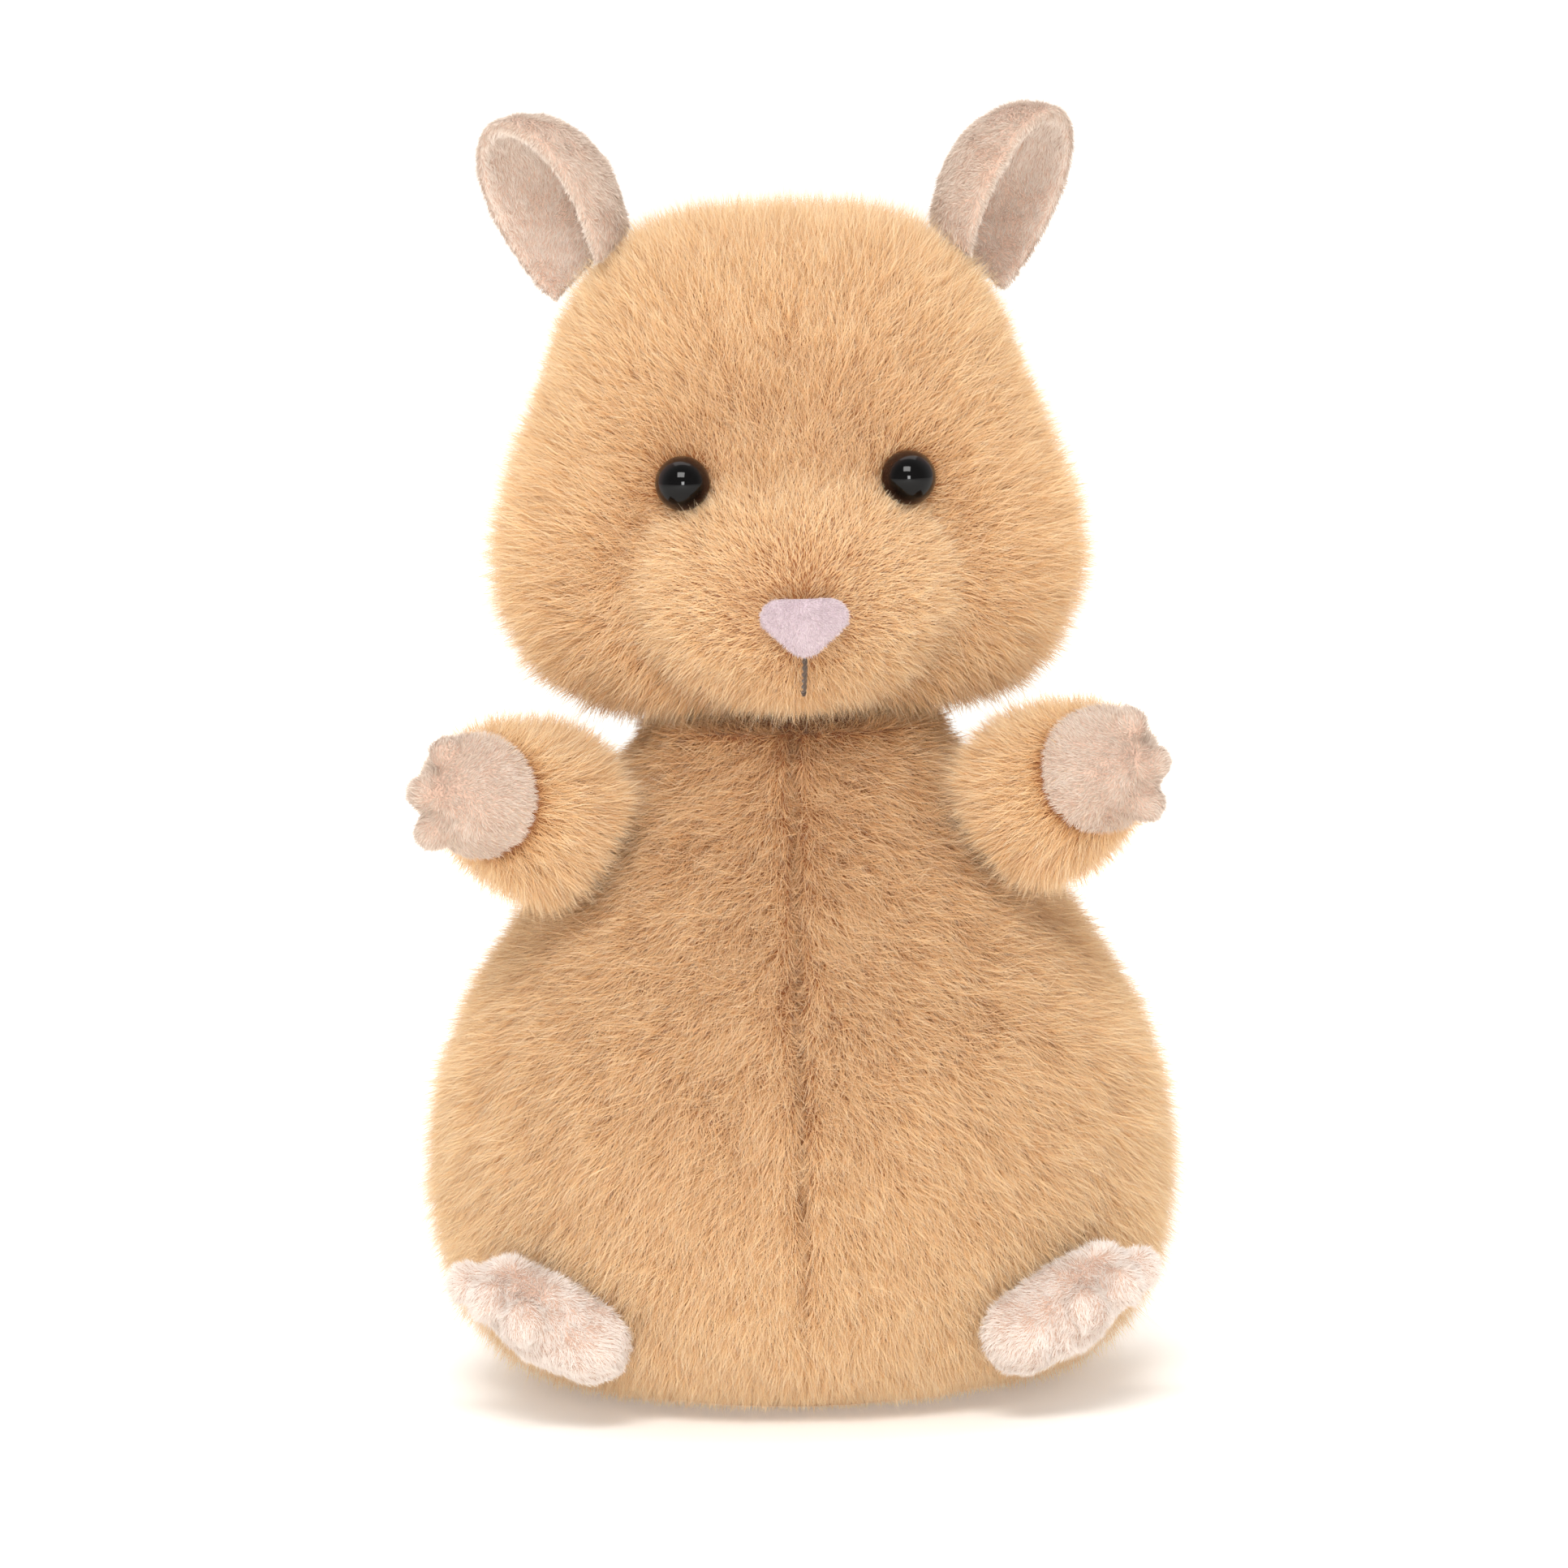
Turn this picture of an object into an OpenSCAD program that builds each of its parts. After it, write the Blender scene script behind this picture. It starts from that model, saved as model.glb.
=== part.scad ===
// Jointed plush hamster, sitting. Millimetres, +Z up, the toy faces -Y, its own left side is +X.
// The origin is the middle of the flat base that it sits on.
// Fur panels are shells over fibre filling, and the head, arms and feet turn on plastic snap joints.

/* [Torso] */
// Height of the torso, from the floor to the neck
torso_h = 95.3; // [94.8:0.1:95.6]
// Radius of the torso at its widest, fabric only
belly_r = 50.7; // [49:0.1:52]
// Radius of the flat base panel
base_r = 26; // [24:1:30]
// Slope of the flank at the shoulders, from the vertical
flank_slope = 32.5; // [32:0.1:33]

/* [Head] */
// Radius of each cheek
cheek_r = 21; // [20:0.1:21.5]
// Half the distance between the cheeks' middles
cheek_x = 18.9; // [17:0.1:19]
// Radius of the skull
skull_r = 25; // [24:0.1:26]
// Height of the skull's middle above the floor
skull_z = 137; // [135:0.5:139]
// How far the head is turned to the toy's left
head_turn = 3; // [-10:1:10]

/* [Face] */
// Diameter of an eye
eye_d = 7.5; // [6:0.5:8]
// Half the distance between the eyes' middles
eye_x = 15.3; // [14:0.1:16]
// Height of the eyes above the floor
eye_z = 127.2; // [126:0.1:128]
// Width of the nose
nose_w = 12; // [10:0.1:13]
// Height of the nose, from top to tip
nose_h = 8; // [7:0.1:9]

/* [Ears] */
// Radius of the ear's cup, at its widest
ear_r = 11.6; // [10:0.1:12]
// Height of the ear above its root
ear_h = 24; // [22:0.5:26]
// How far the ear leans outwards
ear_lean = 26; // [15:1:35]
// How far the cup opens to the side
ear_open = 60; // [40:1:75]

/* [Arms] */
// Height of the shoulder joints above the floor
shoulder_z = 79; // [78:0.1:80]
// How far the shoulder joints are turned forwards from the sides
shoulder_turn = 12; // [8:1:16]
// How far the left arm is raised above the right arm's pose
arm_lift = 5; // [0:1:8]

/* [Feet] */
// Height of the foot joints above the floor
foot_z = 16.5; // [16:0.1:17.5]
// How far the foot joints are turned forwards from the sides
foot_turn = 48; // [44:1:52]
// How far the outer end of each foot is tipped up
foot_tip = 23; // [15:1:30]

/* [Fabric and joints] */
// Thickness of the fur fabric's backing
skin_t = 1.2; // [1:0.1:1.5]
// Gap between parts that turn against each other
gap = 0.4; // [0.3:0.05:0.6]
// Radius of a joint's stem
stem_r = 2.5; // [2:0.1:3]
// Radial clearance of a stem in its washer
running_fit = 0.05; // [0.02:0.01:0.08]

/* [Hidden] */
$fn = 48;
BLEND_FN = 32; // facets of the balls inside a hull
SMALL_FN = 24; // facets of toes and ears
CUT = 200; // larger than the toy, for cutting planes

// Curves of the torso's outline
BASE_RISE = 27; // height over which the base curves out to the belly
BELLY_Z = 32; // where the flank starts to lean in
FLANK_R = 46; // radius of the belly's upper curve
NECK_FILLET = 4;
NECK_GAP = 0.5; // between the torso's top and the head

// Bean pouch
POUCH_R = 33;
POUCH_Z = 2;
POUCH_H = 20;
POUCH_EDGE = 8;
POUCH_T = 0.6;

// Head
neck_z = torso_h + NECK_GAP; // the head's flat underside
SKULL_X = 8;
SKULL_Y = 3;
CHEEK_Y = -2;
CHEEK_Z = 115.4;
NECK_PLATE_R = 16;
CROWN_W = 18; // width of the strip over the top of the head
MUZZLE_R = 15;
MUZZLE_X = 9;
MUZZLE_Y = -16;
MUZZLE_Z = 113;
SNOUT_R = 13.5;
SNOUT_Y = -24.5;
SNOUT_Z = 111;

// Face
EYE_OUT = 4; // degrees that an eye looks outwards
EYE_Y = -22.45; // the fabric's surface at the eye
EYE_SHANK_R = 1.25;
EYE_SHANK_L = 7;
EYE_WASHER_R = 4.5;
EYE_WASHER_T = 1.2;
NOSE_Z = 108.3;
NOSE_T = 1.3;
MOUTH_R = 0.5;
MOUTH_FROM = 31; // degrees below level, seen from the snout's middle
MOUTH_TO = 60;

// Ears
EAR_SITE = 45; // degrees that an ear's root is round the skull, from the top
EAR_GAP = 1.2; // between the ear's root and the head
EAR_PLY = 0.9;
EAR_MID = 0.47; // height of the cup's widest place, as a share of ear_h
EAR_TAPER = 17; // height over which the cup would close below its widest place

// Joint hardware. Distances along a joint's axis are measured outwards from the torso's surface.
DISC_T = 2;
WASHER_T = 1.5;
WASHER_DROP = 0.5; // lets a flat washer clear the curve of the fabric over it
LOCK_T = 2.5;
STEM_HOLE = 0.6; // radial room of a stem in the fabric
CAVITY = 0.8; // room around hardware in the filling
NECK_DISC_R = 13;
NECK_DISC_Z = NECK_GAP + skin_t;
SHOULDER_DISC_R = 5.2;
FOOT_DISC_R = 4;
FOOT_STEM_R = 1.8;

// Points of an arc, from angle a0 to a1
function arc(c, rx, ry, a0, a1, n = 12) =
    [for (i = [0:n]) let (a = a0 + (a1 - a0) * i / n) c + [rx * cos(a), ry * sin(a)]];

flank_c = [belly_r - FLANK_R, BELLY_Z]; // centre of the belly's upper curve
fillet_z = torso_h - NECK_FILLET;
// The flank is a straight line at FLANK_R from flank_c, so a radius on it follows from the height.
function flank_radius(z, in = 0) =
    flank_c[0] + (FLANK_R - in - (z - flank_c[1]) * sin(flank_slope)) / cos(flank_slope);
fillet_c = [flank_radius(fillet_z, NECK_FILLET), fillet_z];

// The torso's outline in radius and height, d inside its surface
function torso_outline(d, hole = 0) = concat(
    [[hole, d]],
    arc([base_r, BASE_RISE], belly_r - base_r - d, BASE_RISE - d, -90, 0),
    arc(flank_c, FLANK_R - d, FLANK_R - d, 0, flank_slope),
    arc(fillet_c, NECK_FILLET - d, NECK_FILLET - d, flank_slope, 90, 6),
    [[hole, torso_h - d]]);

shoulder_r = flank_radius(shoulder_z);
// Radius and slope of the torso's lower curve at the foot joints
foot_drop = (foot_z - BASE_RISE) / BASE_RISE;
foot_r = base_r + (belly_r - base_r) * sqrt(1 - foot_drop ^ 2);
foot_slope = atan(foot_drop / BASE_RISE / ((foot_r - base_r) / (belly_r - base_r) ^ 2));

// The toy's own left is +X, and a right part is the left one mirrored.
module on_side(side) {
    if (side > 0) children(); else mirror([1, 0, 0]) children();
}

// Puts +Z along the torso's outward normal at a shoulder or a foot, and +X down the torso.
module at_torso(r, z, slope, turn) {
    rotate([0, 0, -turn]) translate([r, 0, z]) rotate([0, 90 - slope, 0]) children();
}
module on_head(side = 1) {
    rotate([0, 0, head_turn]) on_side(side) children();
}
module at_shoulder() at_torso(shoulder_r, shoulder_z, flank_slope, shoulder_turn) children();
module at_foot() at_torso(foot_r, foot_z, foot_slope, foot_turn) children();
module at_neck() translate([0, 0, torso_h]) children();

// ---------- joint hardware ----------

// The disc inside a limb with its stem, which runs inwards through both fabrics.
module joint_disc(r, stem, lift) {
    color("ivory") union() {
        translate([0, 0, lift]) cylinder(r = r, h = DISC_T);
        translate([0, 0, -joint_depth()]) cylinder(r = stem, h = joint_depth() + lift + DISC_T / 2);
    }
}
function joint_depth() = skin_t + WASHER_T + LOCK_T + 1.2;

// The washer that bears on the inside of the torso's fabric.
module joint_washer(r, stem, drop = WASHER_DROP) {
    color("ivory") translate([0, 0, -skin_t - drop - WASHER_T]) difference() {
        cylinder(r = r, h = WASHER_T);
        translate([0, 0, -1]) cylinder(r = stem + running_fit, h = WASHER_T + 2);
    }
}

// The ring that is pressed on the stem to hold the washer.
module joint_lock(stem, drop = WASHER_DROP) {
    color("silver") translate([0, 0, -skin_t - drop - WASHER_T - 0.1 - LOCK_T]) difference() {
        cylinder(r = stem + 1.8, h = LOCK_T);
        translate([0, 0, -1]) cylinder(r = stem, h = LOCK_T + 2);
    }
}

// The room that a joint needs in the torso's filling.
module joint_cavity(r) {
    translate([0, 0, -joint_depth() - CAVITY]) cylinder(r = r + CAVITY, h = joint_depth() + CAVITY);
}

// The hole for a stem through the fabric on both sides of the joint.
module stem_hole(stem) {
    translate([0, 0, -10]) cylinder(r = stem + STEM_HOLE, h = 20);
}

// All the cuts that the joints make in the torso's fabric.
module torso_stem_holes() {
    for (side = [1, -1]) on_side(side) {
        at_shoulder() stem_hole(stem_r);
        at_foot() stem_hole(FOOT_STEM_R);
    }
}

// ---------- torso ----------

// One of four fur gores, from the base seam to the neck.
module torso_gore(from) {
    difference() {
        rotate([0, 0, from]) rotate_extrude(angle = 90) difference() {
            polygon(torso_outline(0, stem_r + STEM_HOLE));
            polygon(torso_outline(skin_t));
            square([base_r, skin_t * 2]);
        }
        torso_stem_holes();
    }
}
module torso_front_left() color("burlywood") torso_gore(270);
module torso_front_right() color("burlywood") torso_gore(180);
module torso_back_left() color("burlywood") torso_gore(0);
module torso_back_right() color("burlywood") torso_gore(90);

module base_panel() color("tan") cylinder(r = base_r, h = skin_t);

// The outline of the bean pouch, a flat bag with a round edge, d inside its surface
module pouch_outline(d) {
    polygon(concat(
        [[0, POUCH_Z + d]],
        arc([POUCH_R - POUCH_EDGE, POUCH_Z + POUCH_EDGE], POUCH_EDGE - d, POUCH_EDGE - d, -90, 0),
        arc([POUCH_R - POUCH_EDGE, POUCH_Z + POUCH_H - POUCH_EDGE],
            POUCH_EDGE - d, POUCH_EDGE - d, 0, 90),
        [[0, POUCH_Z + POUCH_H - d]]));
}
module bean_pouch() color("white") rotate_extrude() difference() {
    pouch_outline(0);
    pouch_outline(POUCH_T);
}
module bean_filling() color("whitesmoke") rotate_extrude() pouch_outline(POUCH_T);

module torso_filling() {
    color("white") difference() {
        rotate_extrude() difference() {
            polygon(torso_outline(skin_t));
            pouch_outline(0);
            square([POUCH_R - POUCH_EDGE, POUCH_Z + POUCH_EDGE]);
        }
        at_neck() joint_cavity(NECK_DISC_R);
        for (side = [1, -1]) on_side(side) {
            at_shoulder() joint_cavity(SHOULDER_DISC_R);
            at_foot() joint_cavity(FOOT_DISC_R);
        }
    }
}

// ---------- head ----------

module ball(p, r) translate(p) sphere(r = r, $fn = BLEND_FN);

// Skull and cheeks, d inside the surface, with a flat underside at the neck
module skull_form(d) {
    intersection() {
        hull() {
            for (side = [1, -1]) {
                ball([side * SKULL_X, SKULL_Y, skull_z], skull_r - d);
                ball([side * cheek_x, CHEEK_Y, CHEEK_Z], cheek_r - d);
            }
            translate([0, 0, neck_z]) cylinder(r = NECK_PLATE_R - d, h = 6, $fn = BLEND_FN);
        }
        translate([-CUT / 2, -CUT / 2, neck_z + d]) cube(CUT);
    }
}

// The snout's round form, d inside the surface
module muzzle_form(d) {
    hull() {
        for (side = [1, -1]) ball([side * MUZZLE_X, MUZZLE_Y, MUZZLE_Z], MUZZLE_R - d);
        ball([0, SNOUT_Y, SNOUT_Z], SNOUT_R - d);
    }
}

module skull_shell() {
    difference() {
        skull_form(0);
        skull_form(skin_t);
        muzzle_form(0);
        cylinder(r = stem_r + STEM_HOLE, h = CUT / 2);
        eye_holes();
    }
}

// The holes for the shanks, and the room for the domes, which press into the fabric round them
module eye_holes() for (side = [1, -1]) on_side(side) at_eye() {
    translate([0, 0, -EYE_SHANK_L]) cylinder(r = EYE_SHANK_R + 0.1, h = 2 * EYE_SHANK_L);
    cylinder(r = eye_d / 2 + 0.1, h = eye_d);
}

module head_side() {
    intersection() {
        skull_shell();
        translate([CROWN_W / 2, -CUT / 2, 0]) cube(CUT);
    }
}
module head_left() color("sandybrown") on_head(1) head_side();
module head_right() color("sandybrown") on_head(-1) head_side();
module head_crown() {
    color("sandybrown") on_head() intersection() {
        skull_shell();
        translate([-CROWN_W / 2, -CUT / 2, 0]) cube([CROWN_W, CUT, CUT]);
    }
}

module muzzle() {
    color("wheat") on_head() difference() {
        muzzle_form(0);
        muzzle_form(skin_t);
        skull_form(skin_t);
        eye_holes();
    }
}

module head_filling() {
    color("white") on_head() difference() {
        union() {
            skull_form(skin_t);
            muzzle_form(skin_t);
        }
        at_neck() cylinder(r = NECK_DISC_R + CAVITY, h = NECK_DISC_Z + DISC_T + CAVITY);
        eye_holes();
        for (side = [1, -1]) on_side(side) at_eye() translate([0, 0, -EYE_SHANK_L - CAVITY]) {
            cylinder(r = EYE_SHANK_R + CAVITY, h = 2 * EYE_SHANK_L);
            cylinder(r = EYE_WASHER_R + CAVITY, h = EYE_SHANK_L);
        }
    }
}

module at_eye() translate([eye_x, EYE_Y, eye_z]) rotate([90, 0, EYE_OUT]) children();

// A black dome with its shank, which goes through the fabric.
module eye() {
    color("black") at_eye() union() {
        intersection() {
            translate([0, 0, eye_d * 0.1]) sphere(d = eye_d);
            translate([-eye_d, -eye_d, 0]) cube(2 * eye_d);
        }
        translate([0, 0, -EYE_SHANK_L]) cylinder(r = EYE_SHANK_R, h = EYE_SHANK_L + 1);
    }
}
module eye_washer() {
    color("silver") at_eye() translate([0, 0, -skin_t - 2 - EYE_WASHER_T]) difference() {
        cylinder(r = EYE_WASHER_R, h = EYE_WASHER_T);
        translate([0, 0, -1]) cylinder(r = EYE_SHANK_R, h = EYE_WASHER_T + 2);
    }
}
module eye_left() on_head(1) eye();
module eye_right() on_head(-1) eye();
module eye_washer_left() on_head(1) eye_washer();
module eye_washer_right() on_head(-1) eye_washer();

// A rounded triangle, point down, laid on the snout
module nose() {
    corner = nose_w * 0.22;
    color("pink") on_head() intersection() {
        translate([0, SNOUT_Y, NOSE_Z]) rotate([90, 0, 0]) linear_extrude(SNOUT_R * 2) polygon(concat(
            arc([-nose_w / 2 + corner, nose_h / 2 - corner], corner, corner, 90, 200, 6),
            arc([0, -nose_h / 2 + corner], corner, corner, 225, 315, 5),
            arc([nose_w / 2 - corner, nose_h / 2 - corner], corner, corner, -20, 90, 6)));
        difference() {
            translate([0, SNOUT_Y, SNOUT_Z]) sphere(r = SNOUT_R + NOSE_T);
            translate([0, SNOUT_Y, SNOUT_Z]) sphere(r = SNOUT_R);
        }
    }
}

// A stitch that runs down the snout from the nose's tip
module mouth_stitch() {
    color("dimgray") on_head() translate([0, SNOUT_Y, SNOUT_Z]) rotate([90, 0, -90])
        rotate([0, 0, -MOUTH_TO]) rotate_extrude(angle = MOUTH_TO - MOUTH_FROM)
            translate([SNOUT_R + MOUTH_R, 0]) circle(r = MOUTH_R);
}

module neck_disc() at_neck() joint_disc(NECK_DISC_R, stem_r, NECK_DISC_Z);
module neck_washer() at_neck() joint_washer(NECK_DISC_R - 1, stem_r, 0);
module neck_lock() at_neck() joint_lock(stem_r, 0);

// ---------- ears ----------

// Puts +Z along the skull's outward normal at the left ear's root.
module at_ear() {
    translate([SKULL_X, SKULL_Y, skull_z]) rotate([0, EAR_SITE, 0])
        translate([0, 0, skull_r + EAR_GAP]) children();
}

// Half of the ear's outline, d inside the outer ply's surface
function ear_outline(d) = concat(
    [[0, -ear_h]],
    arc([0, ear_h * EAR_MID], ear_r - d, EAR_TAPER, -60, 0),
    arc([0, ear_h * EAR_MID], ear_r - d, ear_h * (1 - EAR_MID) - d, 0, 90));

// One ply of the cupped ear: half of a shell of revolution, cut off level with the skull.
module ear_ply(d) {
    at_ear() intersection() {
        rotate([0, ear_lean - EAR_SITE, 0]) translate([ear_r / 4, 0, 0]) rotate([0, 0, ear_open])
            rotate_extrude(angle = 180) difference() {
                polygon(ear_outline(d));
                polygon(ear_outline(d + EAR_PLY));
            }
        translate([-CUT / 2, -CUT / 2, 0]) cube(CUT);
    }
}
module ear_left_front() color("mistyrose") on_head(1) ear_ply(EAR_PLY);
module ear_left_back() color("mistyrose") on_head(1) ear_ply(0);
module ear_right_front() color("mistyrose") on_head(-1) ear_ply(EAR_PLY);
module ear_right_back() color("mistyrose") on_head(-1) ear_ply(0);

// ---------- arms ----------

// Balls of an arm: [down, back, out] from the shoulder joint, and radius
ARM_BALLS = [[[0, -2, 7], 10.5], [[2, -14.5, 7.5], 11], [[3, -22.5, 19.5], 9]];
HAND_C = ARM_BALLS[2][0];
PALM_AIM = [1.8, -7.6, 4.5]; // from the hand's middle to the middle of the ball that bounds the palm
PALM_R = 11;
// Toe bumps along the palm's outer edge, seen from the hand's middle
PALM_TOES = [[-2.2, -3.2, 7.3], [3.5, -2.6, 7], [7.3, -2.4, 3.6]];
TOE_R = 2.9;

// An arm's form, d inside the surface, with a flat face that lies on the torso
module arm_form(d) {
    intersection() {
        hull() for (b = ARM_BALLS) ball(b[0], b[1] - d);
        translate([-CUT / 2, -CUT / 2, gap + d]) cube(CUT);
    }
}
module palm_region() ball(HAND_C + PALM_AIM, PALM_R);

module arm_sleeve() {
    color("sandybrown") difference() {
        arm_form(0);
        arm_form(skin_t);
        palm_region();
        stem_hole(stem_r);
    }
}
module arm_palm() {
    color("rosybrown") difference() {
        union() {
            intersection() {
                arm_form(0);
                palm_region();
            }
            for (p = PALM_TOES) translate(HAND_C + p) sphere(r = TOE_R, $fn = SMALL_FN);
        }
        arm_form(skin_t);
    }
}
module arm_filling() {
    color("white") difference() {
        arm_form(skin_t);
        cylinder(r = SHOULDER_DISC_R + CAVITY, h = gap + skin_t + DISC_T + CAVITY);
    }
}
// The left arm is posed a little higher than the right one.
module pose_arm(side) on_side(side) at_shoulder() rotate([0, 0, -side * arm_lift / 2]) children();

module arm_left_sleeve() pose_arm(1) arm_sleeve();
module arm_left_palm() pose_arm(1) arm_palm();
module arm_left_filling() pose_arm(1) arm_filling();
module arm_right_sleeve() pose_arm(-1) arm_sleeve();
module arm_right_palm() pose_arm(-1) arm_palm();
module arm_right_filling() pose_arm(-1) arm_filling();

module shoulder_disc_left() on_side(1) at_shoulder() joint_disc(SHOULDER_DISC_R, stem_r, gap + skin_t);
module shoulder_disc_right() on_side(-1) at_shoulder() joint_disc(SHOULDER_DISC_R, stem_r, gap + skin_t);
module shoulder_lock_left() on_side(1) at_shoulder() joint_lock(stem_r);
module shoulder_lock_right() on_side(-1) at_shoulder() joint_lock(stem_r);
module shoulder_washer_left() on_side(1) at_shoulder() joint_washer(SHOULDER_DISC_R, stem_r);
module shoulder_washer_right() on_side(-1) at_shoulder() joint_washer(SHOULDER_DISC_R, stem_r);

// ---------- feet ----------

// Balls of a foot: [along, up, out], radius. Along runs from the heel to the toes.
FOOT_BALLS = [[[-7, -0.3, 3.4], 5.9], [[0, 0.3, 4.2], 6.5], [[7, 0.8, 3.8], 5.2]];
FOOT_TOES = [[[11.7, 1.2, 6], 3.1], [[6.2, 3, 8.6], 3.2], [[-0.6, 3.2, 9.2], 3.6]];
SOLE_TILT = 20;

module foot_form(d) {
    intersection() {
        union() {
            hull() for (b = FOOT_BALLS) ball(b[0], b[1] - d);
            for (b = FOOT_TOES) translate(b[0]) sphere(r = b[1] - d, $fn = SMALL_FN);
        }
        translate([-CUT / 2, -CUT / 2, gap + d]) cube(CUT);
    }
}
// The half of the space below the seam between the sole and the upper
module sole_space() {
    rotate([SOLE_TILT, 0, 0]) translate([-CUT / 2, -CUT, -CUT / 2]) cube(CUT);
}
module foot_upper() {
    color("mistyrose") difference() {
        foot_form(0);
        foot_form(skin_t);
        sole_space();
        stem_hole(FOOT_STEM_R);
    }
}
module foot_sole() {
    color("seashell") difference() {
        intersection() {
            foot_form(0);
            sole_space();
        }
        foot_form(skin_t);
        stem_hole(FOOT_STEM_R);
    }
}
module foot_filling() {
    color("white") difference() {
        foot_form(skin_t);
        cylinder(r = FOOT_DISC_R + CAVITY, h = gap + skin_t + DISC_T + CAVITY);
    }
}
// Turns +X outwards along the foot and +Y up the torso.
module pose_foot(side) on_side(side) at_foot() rotate([0, 0, 90 + foot_tip]) children();

module foot_left_upper() pose_foot(1) foot_upper();
module foot_left_sole() pose_foot(1) foot_sole();
module foot_left_filling() pose_foot(1) foot_filling();
module foot_right_upper() pose_foot(-1) foot_upper();
module foot_right_sole() pose_foot(-1) foot_sole();
module foot_right_filling() pose_foot(-1) foot_filling();

module foot_disc_left() on_side(1) at_foot() joint_disc(FOOT_DISC_R, FOOT_STEM_R, gap + skin_t);
module foot_disc_right() on_side(-1) at_foot() joint_disc(FOOT_DISC_R, FOOT_STEM_R, gap + skin_t);
module foot_lock_left() on_side(1) at_foot() joint_lock(FOOT_STEM_R);
module foot_lock_right() on_side(-1) at_foot() joint_lock(FOOT_STEM_R);
module foot_washer_left() on_side(1) at_foot() joint_washer(FOOT_DISC_R, FOOT_STEM_R);
module foot_washer_right() on_side(-1) at_foot() joint_washer(FOOT_DISC_R, FOOT_STEM_R);

torso_front_left();
torso_front_right();
torso_back_left();
torso_back_right();
base_panel();
torso_filling();
bean_pouch();
bean_filling();
neck_washer();
shoulder_washer_left();
shoulder_washer_right();
foot_washer_left();
foot_washer_right();
head_left();
head_right();
head_crown();
muzzle();
head_filling();
eye_left();
eye_right();
eye_washer_left();
eye_washer_right();
nose();
mouth_stitch();
neck_disc();
neck_lock();
ear_left_front();
ear_left_back();
ear_right_front();
ear_right_back();
arm_left_sleeve();
arm_left_palm();
arm_left_filling();
shoulder_disc_left();
shoulder_lock_left();
arm_right_sleeve();
arm_right_palm();
arm_right_filling();
shoulder_disc_right();
shoulder_lock_right();
foot_left_upper();
foot_left_sole();
foot_left_filling();
foot_disc_left();
foot_lock_left();
foot_right_upper();
foot_right_sole();
foot_right_filling();
foot_disc_right();
foot_lock_right();
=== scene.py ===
# %% [markdown]
# # A jointed plush hamster
# The toy sits upright, 18 cm high with its pile. Long golden pile covers the body, head and arms, and a short
# pale pink pile covers the ears, palms and feet. The CAD model gives the cloth's surface and the joints. This
# lesson puts soft stuffed forms in the same places, grows the pile on them, and finishes every piece.
# Lengths are in metres, the toy faces -Y and its own left is +X.

# %% Load the frame
import math

import bmesh
import bpy
import numpy as np
from mathutils import Matrix, Vector
from mathutils.bvhtree import BVHTree


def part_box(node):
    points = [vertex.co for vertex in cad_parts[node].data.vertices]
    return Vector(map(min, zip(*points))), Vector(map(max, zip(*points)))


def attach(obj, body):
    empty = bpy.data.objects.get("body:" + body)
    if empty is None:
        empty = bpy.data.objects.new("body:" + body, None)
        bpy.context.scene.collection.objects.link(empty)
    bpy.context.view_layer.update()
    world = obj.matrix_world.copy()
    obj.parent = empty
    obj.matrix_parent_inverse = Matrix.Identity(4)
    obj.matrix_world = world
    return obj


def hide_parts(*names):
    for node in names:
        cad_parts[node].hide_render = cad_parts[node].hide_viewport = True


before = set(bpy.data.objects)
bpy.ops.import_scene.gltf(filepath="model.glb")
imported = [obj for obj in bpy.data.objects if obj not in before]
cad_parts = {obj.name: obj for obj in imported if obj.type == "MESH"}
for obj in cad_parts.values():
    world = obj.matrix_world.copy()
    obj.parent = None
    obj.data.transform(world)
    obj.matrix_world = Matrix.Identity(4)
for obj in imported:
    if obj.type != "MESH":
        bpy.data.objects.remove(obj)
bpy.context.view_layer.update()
scene = bpy.context.scene
MM = 0.001

# %% [markdown]
# ## Camera, floor and light
# A small object is seen from far away through a long lens, so that its near and far parts are drawn at almost
# the same size. The camera stands 6 degrees above level and is rolled by a little, because the toy leans. The floor
# is one sheet that curves up into the backdrop, as in a studio, so that no horizon shows.

# %% Camera
FRAME_WIDTH = 218.3 * MM  # what the camera takes in, at the toy
LENS, SENSOR = 200, 36  # millimetres, as on a camera
ELEVATION = math.radians(6)
ROLL = math.radians(-1.3)
AIM = Vector((-1.3 * MM, 0, 83.3 * MM))

camera = bpy.data.objects.new("camera", bpy.data.cameras.new("camera"))
scene.collection.objects.link(camera)
camera.data.lens, camera.data.sensor_width = LENS, SENSOR
camera_distance = FRAME_WIDTH * LENS / SENSOR
camera.location = AIM + camera_distance * Vector((0, -math.cos(ELEVATION), math.sin(ELEVATION)))
look = (AIM - camera.location).to_track_quat("-Z", "Y")
camera.rotation_euler = (look.to_matrix() @ Matrix.Rotation(ROLL, 3, "Z")).to_euler()
camera.data.clip_end = 20
scene.camera = camera
print("camera distance", round(camera_distance, 3), "m")


# %% Helpers for meshes
def link(name, mesh):
    """A new object for a mesh, in the scene."""
    obj = bpy.data.objects.new(name, mesh)
    scene.collection.objects.link(obj)
    return obj


def points_of(mesh):
    """A mesh's corners, one row each."""
    co = np.empty(len(mesh.vertices) * 3, np.float32)
    mesh.vertices.foreach_get("co", co)
    return co.reshape(-1, 3).astype(float)


def put_points(mesh, points):
    mesh.vertices.foreach_set("co", points.astype(np.float32).ravel())
    mesh.update()


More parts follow.
